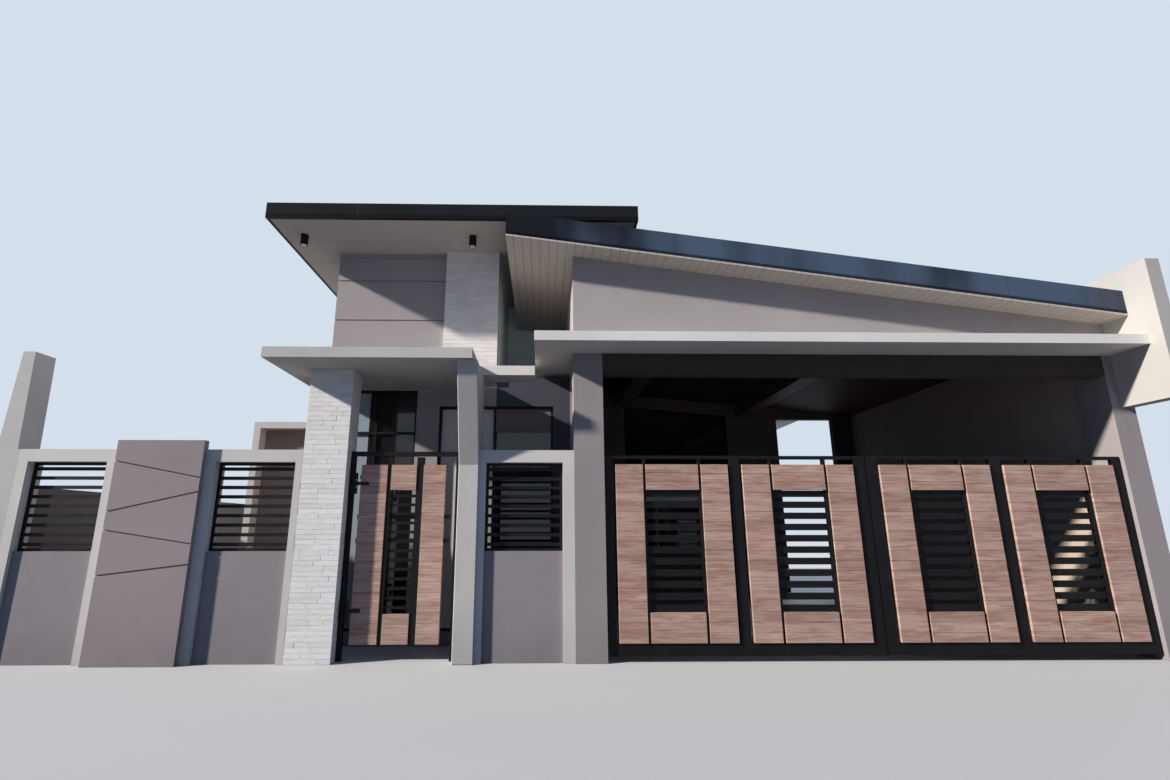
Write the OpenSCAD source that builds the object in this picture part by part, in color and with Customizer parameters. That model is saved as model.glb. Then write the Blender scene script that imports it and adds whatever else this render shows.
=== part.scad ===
// Modern bungalow with a street wall, a canopied pedestrian gate and a gated carport.
// Lengths are in millimetres. X runs along the street, Y runs into the plot, Z is up.
// The street face of the gate columns lies on y = street_y, and the ground is z = 0.

/* [Street line] */
// Width at the ground of the tapered fin that ends the street wall on the left
boundary_fin_w = 360; // [350:10:800]
// Height of the tapered boundary fin
boundary_fin_h = 3180; // [2400:20:3600]
// Width of the boundary fin at its top
boundary_fin_top_w = 130; // [60:5:300]
// How far the boundary fin steps in above the fence
boundary_fin_in = 32; // [10:1:60]
// Depth of the boundary fin from front to back
boundary_fin_d = 270; // [250:10:600]
// Height of the low wall along the left boundary
boundary_wall_h = 1750; // [1500:10:2000]
// Thickness of the low wall along the left boundary
boundary_wall_t = 150; // [100:5:200]
// Width of the first fence bay
bay_1_w = 1040; // [800:10:1600]
// Width of the grooved feature panel
feature_w = 900; // [600:10:1400]
// Width of the second fence bay
bay_2_w = 1010; // [800:10:1600]
// Width of the brick pier beside the pedestrian gate
pier_w = 465; // [300:5:600]
// Clear width of the pedestrian gateway
entry_w = 1185; // [1000:5:1500]
// Thickness of the fin wall that carries the right end of the entry canopy
canopy_fin_w = 210; // [150:5:300]
// Width of the third fence bay
bay_3_w = 1010; // [800:10:1600]
// Width of the left gate column
column_w = 320; // [250:5:450]
// Clear width of the driveway between the gate columns
drive_w = 5645; // [5200:5:6200]
// Distance from the driveway to the face of the firewall
firewall_in = 105; // [80:5:200]
// How far the outer face of the right gate column sits inside that of the firewall
end_column_in = 0; // [0:5:80]

/* [Fence] */
// Height of the fence walls
fence_h = 2110; // [1700:10:2400]
// Thickness of the frame that borders each fence bay
fence_t = 200; // [150:5:300]
// Thickness of the plain wall below each grille
infill_t = 120; // [80:5:140]
// How far the wall below a grille sits behind the face of its frame
infill_back = 40; // [20:5:60]
// Width of the frame to the left and to the right of the first grille
bay_1_legs = [100, 122]; // [60:1:180]
// Width of the frame to the left and to the right of the second grille
bay_2_legs = [105, 70]; // [60:1:180]
// Width of the frame to the left and to the right of the third grille
bay_3_legs = [72, 122]; // [60:1:180]
// Height of the fence frame above a grille
fence_top_h = 130; // [80:5:200]
// Height of the sill below each grille
grille_sill_h = 1070; // [800:10:1300]
// Width of the bars that border a grille
grille_bar = 30; // [20:1:50]
// Height of one slat of a fence grille
slat_h = 36; // [30:1:60]
// Distance from one slat to the next
slat_pitch = 97; // [80:1:120]
// Thickness of a slat
slat_t = 20; // [10:1:30]
// Height of the grooved feature panel
feature_h = 2200; // [1800:10:2500]
// Thickness of the feature panel
feature_t = 80; // [60:5:200]
// How far the feature panel stands in front of the fence
feature_proud = 60; // [40:5:150]
// Width of the grooves in the feature panel
groove_w = 16; // [10:1:30]
// Depth of the grooves in the feature panel
groove_d = 14; // [8:1:30]

/* [Entry canopy] */
// Depth of the brick pier
pier_d = 250; // [150:10:500]
// Depth of the canopy fin wall
canopy_fin_d = 780; // [500:10:1000]
// Height of the underside of the entry canopy
entry_canopy_z = 2990; // [2600:10:3300]
// Thickness of the entry canopy
entry_canopy_t = 110; // [80:2:200]
// How far the entry canopy stands out over the pavement
entry_canopy_out = 485; // [300:5:700]
// How far the fin wall sits inside the edges of the entry canopy
fin_in = 50; // [20:5:100]
// How far the entry canopy runs past the pier on the left
entry_canopy_left = 325; // [200:5:500]
// Depth of the linking slab between the two canopies
link_d = 345; // [200:5:500]
// How far the front of the linking slab lies behind the street face
link_back = 190; // [100:5:300]

/* [Gates] */
// Height of the top of both gates
gate_top_z = 2060; // [1800:2:2300]
// Gap between the ground and the bottom of the driveway gate
gate_ground_gap = 60; // [40:5:100]
// Thickness of the steel gate frames
gate_t = 50; // [40:1:70]
// How far the middle of the gates lies behind the street face
gate_back = 40; // [30:5:120]
// Width of the steel posts at the ends of a gate leaf
gate_end_post = 85; // [60:5:140]
// Width of the steel post where the two driveway leaves meet
gate_meet_post = 117; // [80:1:160]
// Width of the steel post between the two bays of a driveway leaf
gate_mid_post = 110; // [80:5:140]
// Height of the bottom rail of a gate leaf
gate_bottom_rail = 120; // [60:5:160]
// Height of the top rail of a gate leaf
gate_top_rail = 35; // [25:1:60]
// Width of the wooden side boards in a gate bay
gate_board_w = 290; // [200:5:400]
// Width of the steel strip between the boards and the middle of a gate bay
gate_strip = 30; // [15:1:40]
// Height of the upper middle board
gate_upper_board_h = 270; // [150:5:400]
// Height of the lower middle board
gate_lower_board_h = 290; // [150:5:400]
// Slot between a gate post and the boards beside it
gate_slot = 22; // [10:1:40]
// Gap between the boards and the top rail of a driveway leaf
gate_top_gap = 60; // [30:5:100]
// Height of a slat of the driveway gate
gate_slat_h = 68; // [40:1:80]
// Distance from one slat of the driveway gate to the next
gate_slat_pitch = 115; // [90:1:140]
// How far the boards of the pedestrian gate stand in front of its frame
board_proud = 12; // [8:1:12]
// How far the boards of the driveway gate stand in front of its frame
gate_board_proud = 22; // [10:1:25]
// Thickness of the gate boards
board_t = 50; // [20:1:60]
// Running gap between the two driveway leaves
leaf_gap = 10; // [6:1:20]
// Distance from a gate column to the hinge axis of its leaf
hinge_off = 40; // [30:1:60]
// Distance from a gate column to the edge of its leaf
leaf_start = 15; // [10:1:20]
// Radius of the hinge knuckles
knuckle_r = 18; // [12:0.5:25]
// Height of one hinge knuckle
knuckle_h = 70; // [40:5:120]
// Gap between two knuckles of a hinge
knuckle_gap = 5; // [5:0.5:8]
// Width of the fixed steel jamb and head of the pedestrian gate
portal_w = 49; // [40:1:80]
// Width of the post and board pieces of the pedestrian leaf, from left to right
entry_ws = [279, 42, 269, 75, 237]; // [40:1:320]
// Distance from the pedestrian gate's left jamb to its hinge axis
entry_hinge_off = 30; // [24:1:50]
// Distance from the pedestrian gate's left jamb to the edge of its leaf
entry_start = 76; // [60:1:90]
// Gap over the pedestrian leaf
entry_gap = 12; // [8:1:20]
// Height of a slat of the pedestrian gate
entry_slat_h = 30; // [20:1:50]
// Distance from one slat of the pedestrian gate to the next
entry_slat_pitch = 94; // [70:1:120]
// Heights of the rails behind the boards of the pedestrian gate
entry_rail_zs = [268, 1150, 1395, 1815]; // [200:5:1850]
// Height of one of those rails
entry_rail_h = 45; // [30:1:60]
// How far a lock block stands out at the right of the pedestrian leaf
entry_lock_w = 62; // [30:1:70]
// Heights of the hinges of the pedestrian gate
entry_hinge_zs = [450, 1730]; // [350:10:1750]
// Heights of the hinges of the driveway gate
hinge_zs = [350, 1010, 1670]; // [300:10:1700]
// Height of the bottom of the pedestrian leaf
entry_leaf_z = 158; // [60:2:200]
// How far the pedestrian gate lies behind the street face
entry_back = 135; // [80:5:200]

/* [Carport] */
// Depth of the gate columns
column_d = 380; // [200:10:500]
// Height of the underside of the carport canopy, where the columns end
canopy_z = 3195; // [2900:5:3400]
// Thickness of the carport canopy
canopy_t = 104; // [80:2:200]
// How far the carport canopy stands out in front of the columns
canopy_out = 455; // [300:5:700]
// How far the carport canopy runs past the left gate column
canopy_left = 430; // [200:5:600]
// Height of the underside of the beam over the driveway
beam_z = 2970; // [2700:10:3100]
// Thickness of the beam and of the gable wall
beam_t = 200; // [150:10:300]
// Depth of the canopy's return beside the porch, from the street face
canopy_return = 1285; // [900:5:1800]
// Depth of the carport, from the street face to its back wall
carport_d = 5575; // [4800:5:6000]
// Thickness of the firewall on the right boundary
firewall_t = 150; // [100:5:200]
// Height of the firewall
firewall_h = 4100; // [3900:10:4600]
// Thickness of the lining on the carport side of the firewall
lining_t = 15; // [10:1:30]
// How far the raised wing of the firewall stands out over the pavement
wing_out = 600; // [400:10:800]
// Height of the underside of the wing
wing_z = 2600; // [2300:10:2900]
// How far the carport ceiling hangs below the roof at its left edge
ceiling_drop = 300; // [100:10:400]
// Width of a ceiling beam
ceiling_beam_w = 250; // [120:10:300]
// Distance from the driveway's left edge to the first ceiling beam
ceiling_beam_x = 860; // [500:10:1200]
// Distance between the two ceiling beams
ceiling_beam_gap = 2430; // [2000:10:2800]
// How far the beam along the back wall stands out from it
wall_beam_t = 120; // [60:5:200]
// Depth of a ceiling beam
ceiling_beam_h = 240; // [120:10:300]
// Clear height of the passage in the back wall of the carport
passage_h = 3500; // [2100:10:3550]
// Clear width of the passage in the back wall of the carport
passage_w = 1180; // [900:10:1400]
// Width of the short wall between the passage and the firewall
passage_jamb_w = 410; // [300:10:600]
// Distance from the driveway's left edge to the carport window
carport_window_x = 1010; // [600:10:1800]
// Width of the carport window
carport_window_w = 2110; // [1200:10:2400]
// Height of the sill of the carport window
carport_window_sill = 900; // [150:10:1500]
// Height of the head of the carport window
carport_window_head = 3720; // [2400:10:3750]

/* [House] */
// Clearance between the sloping roof or ceiling and what stands or hangs below it
seat_gap = 0.3; // [0.2:0.1:0.8]
// Thickness of the house walls
wall_t = 150; // [120:5:200]
// How far the tower stands past the pier on the left
tower_left = 150; // [50:5:400]
// Width of the tower
tower_w = 2100; // [1900:10:2600]
// How far the tower lies behind the street face
tower_back = 915; // [800:5:1200]
// Width of the brick column on the tower
brick_w = 689; // [500:1:850]
// How far the brick column stands in front of the tower wall
brick_proud = 60; // [30:5:120]
// Depth of the recessed porch beside the tower
recess_d = 1935; // [1600:5:2200]
// Depth of the rear block
rear_d = 4125; // [3600:5:5000]
// Gap between the rear block and the passage beside it
rear_in = 50; // [0:10:200]
// Height of the floor slab
floor_h = 150; // [100:5:200]
// Distance from the tower's left edge to the glazed entrance
entrance_x = 100; // [60:5:200]
// Width of the glazed entrance
entrance_w = 1017; // [900:1:1080]
// Height of the head of the glazed entrance
entrance_head = 2980; // [2400:10:2980]
// Height of the transom of the glazed entrance
entrance_transom = 2430; // [2000:5:2500]
// Distance from the left of the glazed entrance to its mullion
entrance_mullion = 495; // [300:5:700]
// Width of the steel bars of the glazed entrance and the windows
bar_w = 30; // [20:1:60]
// Thickness of the steel bars of the glazed entrance and the windows
bar_t = 60; // [30:1:90]
// Height of the head of the black framed entrance beside the tower
foyer_head = 2780; // [2400:10:2850]
// Width of the light panel in that entrance
panel_w = 645; // [500:5:660]
// Width of the wall between that entrance and the carport
foyer_wall_w = 210; // [120:5:300]
// Height of the solid band below the head of that entrance
foyer_band_h = 285; // [200:5:400]
// Height of the walls of the low foyer beside the tower
foyer_h = 3050; // [3000:10:3100]
// Width of a window in the plain walls
window_w = 1400; // [900:10:1800]
// Height of the sill of a window in the plain walls
window_sill = 1000; // [800:10:1300]
// Height of the head of a window in the plain walls
window_head = 2400; // [2000:10:2700]
// Distances from the tower front to the windows of the left wall
left_windows = [2600, 6000]; // [2500:50:7500]
// Distances from the tower's left edge to the windows of the rear wall
rear_windows = [800, 4300]; // [400:50:5500]
// Distance from the carport's back wall to the window of the rear block
side_window_y = 1200; // [600:50:2400]
// Thickness of the glass
glass_t = 12; // [6:1:20]

/* [Roofs] */
// Gap between the top of the carport roof and the underside of the high roof
roof_gap = 105; // [60:5:400]
// Depth of the roof sheet below the top of the high fascia
sheet_drop = 40; // [20:5:60]
// Height of one course of planks on the tower wall
plank_h = 542; // [400:2:700]
// Distance from the high roof down to the first plank joint
plank_top = 422; // [300:2:500]
// Overhang of the high roof in front of the tower
high_front = 895; // [500:5:1000]
// Overhang of the high roof on the left of the tower
high_left = 580; // [400:5:900]
// Overhang of the high roof over the carport roof
high_right = 634; // [400:1:900]
// Depth of the fascia of the high roof
high_fascia = 175; // [120:5:250]
// Fall of the carport roof, in degrees, towards the right
lean_fall = 7.5; // [5:0.5:9]
// Height of the underside of the carport roof at the left gate column
lean_z = 4385; // [4250:5:4500]
// Overhang of the carport roof on the left of the gate column
lean_left = 760; // [500:5:900]
// Overhang of the carport roof in front of the gable wall
lean_front = 300; // [200:5:450]
// Overhang of the carport roof past its back wall
lean_rear = 300; // [150:5:400]
// Depth of the fascia of the carport roof
lean_fascia = 270; // [180:2:280]
// Overhang of the roofs behind the rear wall
rear_eave = 350; // [200:5:500]
// Overhang of the rear roof past the rear block on the right
rear_side_eave = 1000; // [400:10:1100]
// Radius of the round lights under the high roof
light_r = 45; // [30:1:70]
// Distance of the round lights from the left edge of the roof and from the tower's right edge
light_in = 300; // [200:5:500]
// Distance of the round lights from the front edge of the roof
light_back = 415; // [250:5:600]
// Width of the metal edge that shows round a soffit
fascia_w = 40; // [20:1:60]
// Thickness of the soffit boards
soffit_t = 20; // [10:1:30]

/* [Side bay] */
// Width of the low framed bay on the left of the house
side_bay_w = 1830; // [1200:10:1900]
// Depth of the side bay
side_bay_d = 1500; // [1000:10:2500]
// Height of the side bay
side_bay_h = 2920; // [2500:10:3200]
// Thickness of the side bay's roof and wall
side_bay_t = 100; // [80:5:150]
// How far the wall of the side bay sits back inside its frame
side_bay_in = 200; // [100:10:400]

/* [Hidden] */
$fn = 32;

// Distance by which a cutter runs past the solid that it cuts
past = 10;

// The plot is centred on the origin
plot_w = boundary_fin_w + bay_1_w + feature_w + bay_2_w + pier_w + entry_w + canopy_fin_w + bay_3_w
    + column_w + drive_w + firewall_in + firewall_t;
plot_d = wing_out + carport_d + wall_t + rear_d + rear_eave;
street_y = wing_out - plot_d / 2;

// Left edges of the pieces along the street, from left to right
fin_x = -plot_w / 2;
bay_1_x = fin_x + boundary_fin_w;
feature_x = bay_1_x + bay_1_w;
bay_2_x = feature_x + feature_w;
pier_x = bay_2_x + bay_2_w;
entry_x = pier_x + pier_w;
canopy_fin_x = entry_x + entry_w;
bay_3_x = canopy_fin_x + canopy_fin_w;
column_x = bay_3_x + bay_3_w;
drive_x = column_x + column_w;
end_column_x = drive_x + drive_w;
firewall_x = end_column_x + firewall_in;
right_x = firewall_x + firewall_t;

// House lines
tower_x = pier_x - tower_left;
tower_right_x = tower_x + tower_w;
tower_y = street_y + tower_back;
porch_y = tower_y + recess_d;
back_y = street_y + carport_d;
rear_y = back_y + wall_t;
rear_end_y = rear_y + rear_d;
side_x = column_x + wall_t;
passage_x = firewall_x - passage_jamb_w - passage_w;
rear_right_x = passage_x - rear_in;

// Roof lines
high_x = tower_x - high_left;
high_end_x = side_x + high_right;
high_y = tower_y - high_front;
high_end_y = rear_end_y + rear_eave;
lean_slope = tan(lean_fall);
lean_x = column_x - lean_left;
lean_y = street_y - lean_front;
lean_end_y = rear_y + lean_rear;
rear_roof_x = rear_right_x + rear_side_eave;
function lean_under(x) = lean_z - (x - column_x) * lean_slope;
function wall_top(x) = lean_under(x) - seat_gap;
high_z = lean_under(lean_x) + lean_fascia + roof_gap;
ceiling_left_z = lean_under(side_x) - ceiling_drop;
ceiling_right_z = lean_under(firewall_x) - soffit_t;
function ceiling_under(x) = ceiling_left_z
    + (ceiling_right_z - ceiling_left_z) * (x - side_x) / (firewall_x - side_x);
beam_1_x = drive_x + ceiling_beam_x;

// Driveway gate lines
gate_y = street_y + gate_back;
hinge_y = gate_y + gate_t + knuckle_r;
leaf_x0 = leaf_start - hinge_off;
leaf_w = (drive_w - leaf_gap) / 2 - leaf_start;
leaf_bottom = gate_ground_gap;
bay_w = (leaf_w - gate_end_post - gate_meet_post - gate_mid_post - 4 * gate_slot) / 2;
bay_step = bay_w + gate_mid_post + 2 * gate_slot;
middle_w = bay_w - 2 * gate_board_w - 2 * gate_strip;
leaf_board_z = leaf_bottom + gate_bottom_rail;
leaf_board_top = gate_top_z - gate_top_rail - gate_top_gap;
leaf_hole_z = leaf_board_z + gate_lower_board_h;
leaf_hole_h = leaf_board_top - gate_upper_board_h - leaf_hole_z;
function leaf_bay_x(i) = leaf_x0 + gate_end_post + gate_slot + i * bay_step;

// Pedestrian gate lines, measured to the right from its hinge axis
entry_y = street_y + entry_back;
entry_hinge_x = entry_x + portal_w + entry_hinge_off;
entry_hinge_y = entry_y - knuckle_r;
entry_leaf_top = gate_top_z - entry_gap;
function entry_at(i) = i == 0 ? entry_start - entry_hinge_off : entry_at(i - 1) + entry_ws[i - 1];
entry_board_top = gate_top_z - gate_top_rail - gate_top_gap;
entry_hole_z = entry_leaf_z + gate_lower_board_h;
entry_hole_h = entry_board_top - gate_upper_board_h - entry_hole_z;
entry_rail_x = knuckle_r + knuckle_gap / 2;

// Shared shapes

// A wall drawn as its elevation, seen from the street, between y and y + t
module facing_wall(y, t) {
    translate([0, y + t, 0]) rotate([90, 0, 0]) linear_extrude(t) children();
}

// A wall drawn as its side elevation, with y across and z up, between x and x + t
module side_wall(x, t) {
    translate([x, 0, 0]) rotate([90, 0, 90]) linear_extrude(t) children();
}

module rect(x, y, w, h) {
    translate([x, y]) square([w, h]);
}

module block(x, y, z, w, d, h) {
    translate([x, y, z]) cube([w, d, h]);
}

// A sloping band that lies on the underside of the carport roof, raised by up
module lean_band(x, w, up, h) {
    polygon([
        [x, lean_under(x) + up],
        [x + w, lean_under(x + w) + up],
        [x + w, lean_under(x + w) + up + h],
        [x, lean_under(x) + up + h]
    ]);
}

// A sloping band that hangs from the carport ceiling
module ceiling_band(x, w, h) {
    polygon([
        [x, ceiling_under(x) - h],
        [x + w, ceiling_under(x + w) - h],
        [x + w, ceiling_under(x + w) - seat_gap],
        [x, ceiling_under(x) - seat_gap]
    ]);
}

// The space above the underside of the carport roof
module above_lean() {
    facing_wall(street_y - past, rear_end_y - street_y + 2 * past)
        lean_band(column_x - past, right_x - column_x + 2 * past, 0, high_z);
}

// Street wall

module boundary_fin() {
    color([0.72, 0.68, 0.64])
        facing_wall(street_y, boundary_fin_d)
            polygon([
                [fin_x, 0],
                [bay_1_x, 0],
                [bay_1_x, fence_h],
                [bay_1_x - boundary_fin_in, fence_h],
                [bay_1_x - 2 * boundary_fin_in, boundary_fin_h],
                [bay_1_x - 2 * boundary_fin_in - boundary_fin_top_w, boundary_fin_h]
            ]);
}

// The low wall that runs back along the left boundary
module boundary_wall() {
    y = street_y + boundary_fin_d;
    color([0.4, 0.36, 0.36])
        block(fin_x, y, 0, boundary_wall_t, rear_end_y - y, boundary_wall_h);
}

// The frame of a fence bay, open below its head
module fence_bay(x, w, legs) {
    color([0.72, 0.68, 0.64])
        facing_wall(street_y, fence_t)
            difference() {
                rect(x, 0, w, fence_h);
                rect(x + legs[0], -past, w - legs[0] - legs[1], fence_h - fence_top_h + past);
            }
}

module fence_wall_left() {
    fence_bay(bay_1_x, bay_1_w, bay_1_legs);
}

module fence_wall_middle() {
    fence_bay(bay_2_x, bay_2_w, bay_2_legs);
}

module fence_wall_right() {
    fence_bay(bay_3_x, bay_3_w, bay_3_legs);
}

// The plain wall below a grille
module infill(x, w, legs) {
    block(x + legs[0], street_y + infill_back, 0, w - legs[0] - legs[1], infill_t, grille_sill_h);
}

module fence_infills() {
    color([0.45, 0.41, 0.4]) {
        infill(bay_1_x, bay_1_w, bay_1_legs);
        infill(bay_2_x, bay_2_w, bay_2_legs);
        infill(bay_3_x, bay_3_w, bay_3_legs);
    }
}

// A stack of slats that fills a field with equal margins above and below
module slats(x, z, w, h, one, pitch) {
    count = floor((h + pitch - one) / pitch);
    first = z + (h - (count - 1) * pitch - one) / 2;
    for (i = [0 : count - 1])
        rect(x, first + i * pitch, w, one);
}

module grille(x, w, legs) {
    gx = x + legs[0];
    gw = w - legs[0] - legs[1];
    h = fence_h - fence_top_h - grille_sill_h;
    color([0.06, 0.06, 0.07])
        facing_wall(street_y + infill_back + (infill_t - slat_t) / 2, slat_t) {
            difference() {
                rect(gx, grille_sill_h, gw, h);
                rect(gx + grille_bar, grille_sill_h + grille_bar, gw - 2 * grille_bar, h - 2 * grille_bar);
            }
            slats(gx + grille_bar, grille_sill_h + grille_bar, gw - 2 * grille_bar, h - 2 * grille_bar,
                slat_h, slat_pitch);
        }
}

module fence_grille_left() {
    grille(bay_1_x, bay_1_w, bay_1_legs);
}

module fence_grille_middle() {
    grille(bay_2_x, bay_2_w, bay_2_legs);
}

module fence_grille_right() {
    grille(bay_3_x, bay_3_w, bay_3_legs);
}

// A slanting groove across the feature panel, given at its left and its right edge
module groove(left_z, right_z) {
    facing_wall(street_y - feature_proud - past, groove_d + past)
        polygon([
            [feature_x - past, left_z],
            [feature_x + feature_w + past, right_z],
            [feature_x + feature_w + past, right_z + groove_w],
            [feature_x - past, left_z + groove_w]
        ]);
}

module fence_feature_panel() {
    color([0.5, 0.46, 0.45])
        difference() {
            block(feature_x, street_y - feature_proud, 0, feature_w, feature_t, feature_h);
            for (ends = [[0.898, 0.818], [0.66, 0.755], [0.58, 0.516], [0.377, 0.427]])
                groove(ends[0] * feature_h, ends[1] * feature_h);
        }
}

// Entry canopy and its supports

module brick_pier() {
    color([0.88, 0.84, 0.78])
        block(pier_x, street_y + infill_back, 0, pier_w, pier_d, entry_canopy_z);
}

module canopy_fin() {
    color([0.6, 0.57, 0.56])
        block(canopy_fin_x, street_y - entry_canopy_out + fin_in, 0, canopy_fin_w, canopy_fin_d,
            entry_canopy_z);
}

module entry_canopy() {
    x = pier_x - entry_canopy_left;
    color([0.66, 0.63, 0.6])
        block(x, street_y - entry_canopy_out, entry_canopy_z, bay_3_x - fin_in - x,
            tower_y - brick_proud - street_y + entry_canopy_out, entry_canopy_t);
}

module porch_ledge() {
    color([0.82, 0.79, 0.75])
        block(bay_3_x - fin_in, street_y + link_back, entry_canopy_z,
            column_x - canopy_left - bay_3_x + fin_in, link_d, entry_canopy_t);
}

// Pedestrian gate

module entry_gate_portal() {
    color([0.06, 0.06, 0.07])
        facing_wall(entry_y, gate_t)
            difference() {
                rect(entry_x, 0, entry_w, gate_top_z + portal_w);
                rect(entry_x + portal_w, -past, entry_w - 2 * portal_w, gate_top_z + past);
            }
}

// Outlines of the boards of the pedestrian leaf
module entry_boards_2d() {
    rect(entry_at(0), entry_leaf_z, entry_ws[0], entry_board_top - entry_leaf_z);
    rect(entry_at(2), entry_leaf_z, entry_ws[2], gate_lower_board_h);
    rect(entry_at(2), entry_hole_z + entry_hole_h, entry_ws[2], gate_upper_board_h);
    rect(entry_at(4), entry_leaf_z, entry_ws[4], entry_board_top - entry_leaf_z);
}

// Two posts with slats between them, rails behind the boards, hinge straps and lock blocks
module entry_gate_frame() {
    back = board_t - board_proud;
    end = entry_at(5);
    translate([entry_hinge_x, 0, 0])
        color([0.06, 0.06, 0.07]) {
            facing_wall(entry_y, gate_t)
                for (i = [1, 3])
                    rect(entry_at(i), entry_leaf_z, entry_ws[i], entry_leaf_top - entry_leaf_z);
            facing_wall(entry_y + (gate_t - slat_t) / 2, slat_t)
                slats(entry_at(2), entry_hole_z, entry_ws[2], entry_hole_h, entry_slat_h, entry_slat_pitch);
            for (z = entry_rail_zs)
                block(entry_rail_x, entry_y + back, z, end - entry_rail_x, gate_t - back, entry_rail_h);
            for (i = [1, 2])
                block(end, entry_y, entry_rail_zs[i], entry_lock_w, gate_t, entry_rail_h);
            for (z = entry_hinge_zs) {
                translate([0, entry_hinge_y, z]) cylinder(r = knuckle_r, h = knuckle_h);
                block(0, entry_hinge_y - knuckle_r / 3, z + knuckle_h / 4, entry_at(0) + 90,
                    knuckle_r * 2 / 3, knuckle_h / 2);
            }
        }
}

module entry_gate_boards() {
    color([0.45, 0.34, 0.3])
        translate([entry_hinge_x, 0, 0])
            facing_wall(entry_y - board_proud, board_t) entry_boards_2d();
}

// Driveway gate, drawn as its left leaf and measured from the hinge axis

module leaf_boards_2d() {
    for (i = [0, 1]) {
        x = leaf_bay_x(i);
        rect(x, leaf_board_z, gate_board_w, leaf_board_top - leaf_board_z);
        rect(x + bay_w - gate_board_w, leaf_board_z, gate_board_w, leaf_board_top - leaf_board_z);
        rect(x + gate_board_w + gate_strip, leaf_board_z, middle_w, gate_lower_board_h);
        rect(x + gate_board_w + gate_strip, leaf_hole_z + leaf_hole_h, middle_w, gate_upper_board_h);
    }
}

module leaf_frame_2d() {
    h = gate_top_z - leaf_bottom;
    rect(leaf_x0, leaf_bottom, gate_end_post, h);
    rect(leaf_x0 + leaf_w - gate_meet_post, leaf_bottom, gate_meet_post, h);
    rect(leaf_bay_x(1) - gate_slot - gate_mid_post, leaf_bottom, gate_mid_post, h);
    rect(leaf_x0, leaf_bottom, leaf_w, gate_bottom_rail);
    rect(leaf_x0, gate_top_z - gate_top_rail, leaf_w, gate_top_rail);
    for (i = [0, 1], x = [gate_board_w, bay_w - gate_board_w - gate_strip])
        rect(leaf_bay_x(i) + x, leaf_bottom, gate_strip, h);
}

module drive_leaf_frame() {
    color([0.06, 0.06, 0.07]) {
        facing_wall(gate_y, gate_t) leaf_frame_2d();
        facing_wall(gate_y + (gate_t - slat_t) / 2, slat_t)
            for (i = [0, 1])
                slats(leaf_bay_x(i) + gate_board_w + gate_strip, leaf_hole_z, middle_w, leaf_hole_h,
                    gate_slat_h, gate_slat_pitch);
        for (z = hinge_zs) {
            translate([0, hinge_y, z]) cylinder(r = knuckle_r, h = knuckle_h);
            block(-knuckle_r / 2, gate_y + gate_t, z, knuckle_r, knuckle_r, knuckle_h);
        }
    }
}

module drive_leaf_boards() {
    color([0.6, 0.45, 0.4])
        facing_wall(gate_y - gate_board_proud, board_t) leaf_boards_2d();
}

module left_leaf_place() {
    translate([drive_x + hinge_off, 0, 0]) children();
}

module right_leaf_place() {
    translate([end_column_x - hinge_off, 0, 0]) mirror([1, 0, 0]) children();
}

module drive_leaf_left_frame() {
    left_leaf_place() drive_leaf_frame();
}

module drive_leaf_left_boards() {
    left_leaf_place() drive_leaf_boards();
}

module drive_leaf_right_frame() {
    right_leaf_place() drive_leaf_frame();
}

module drive_leaf_right_boards() {
    right_leaf_place() drive_leaf_boards();
}

// Hinge knuckles above and below those of a leaf, with the plates that hold them
module fixed_knuckles(y, zs, off) {
    for (z = zs, s = [-knuckle_h - knuckle_gap, knuckle_h + knuckle_gap])
        translate([0, y, z + s]) {
            cylinder(r = knuckle_r, h = knuckle_h);
            block(-off, -knuckle_r / 3, 0, off, knuckle_r * 2 / 3, knuckle_h);
        }
}

module gate_hinges() {
    color([0.1, 0.1, 0.11]) {
        left_leaf_place() fixed_knuckles(hinge_y, hinge_zs, hinge_off);
        right_leaf_place() fixed_knuckles(hinge_y, hinge_zs, hinge_off);
        translate([entry_hinge_x, 0, 0])
            fixed_knuckles(entry_hinge_y, entry_hinge_zs, entry_hinge_off);
        for (z = entry_hinge_zs, s = [-knuckle_h - knuckle_gap, knuckle_h + knuckle_gap])
            block(entry_x + portal_w / 2, entry_hinge_y - knuckle_r / 3, z + s, portal_w / 2,
                knuckle_r * 4 / 3, knuckle_h);
    }
}

// Gate columns, beam, canopy and gable

module gate_column_left() {
    color([0.6, 0.56, 0.55])
        block(column_x, street_y, 0, column_w, column_d, canopy_z);
}

module gate_column_right() {
    color([0.6, 0.56, 0.55])
        difference() {
            block(end_column_x, street_y, 0, firewall_in + firewall_t - end_column_in, column_d, canopy_z);
            block(firewall_x, street_y - past, wing_z, firewall_t, column_d + 2 * past, canopy_z);
        }
}

module drive_beam() {
    color([0.62, 0.58, 0.55])
        block(drive_x, street_y, beam_z, drive_w, beam_t, canopy_z - beam_z);
}

module carport_canopy() {
    x = column_x - canopy_left;
    color([0.82, 0.79, 0.75]) {
        block(x, street_y - canopy_out, canopy_z, firewall_x - x, canopy_out + beam_t, canopy_t);
        block(x, street_y + beam_t, canopy_z, canopy_left, canopy_return - beam_t, canopy_t);
    }
}

module gable_wall() {
    color([0.55, 0.51, 0.5])
        difference() {
            block(column_x, street_y, canopy_z + canopy_t, firewall_x - column_x, beam_t, lean_z - canopy_z);
            translate([0, 0, -soffit_t]) above_lean();
        }
}

// The wall between the carport and the foyer, which bridges the gap to the gable wall
module porch_side_wall() {
    y = street_y + beam_t;
    color([0.55, 0.51, 0.5])
        difference() {
            block(column_x, y, 0, wall_t, porch_y + wall_t - y, lean_z);
            translate([0, 0, -soffit_t]) above_lean();
            block(column_x - past, y - past, -past, wall_t + 2 * past, tower_y - y + past, beam_z + past);
            block(column_x - past, y - past, beam_z - past, wall_t + 2 * past, column_d - beam_t + past,
                canopy_z - beam_z + past);
            block(column_x - past, y, canopy_z, past, canopy_return - beam_t, canopy_t);
        }
}

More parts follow.
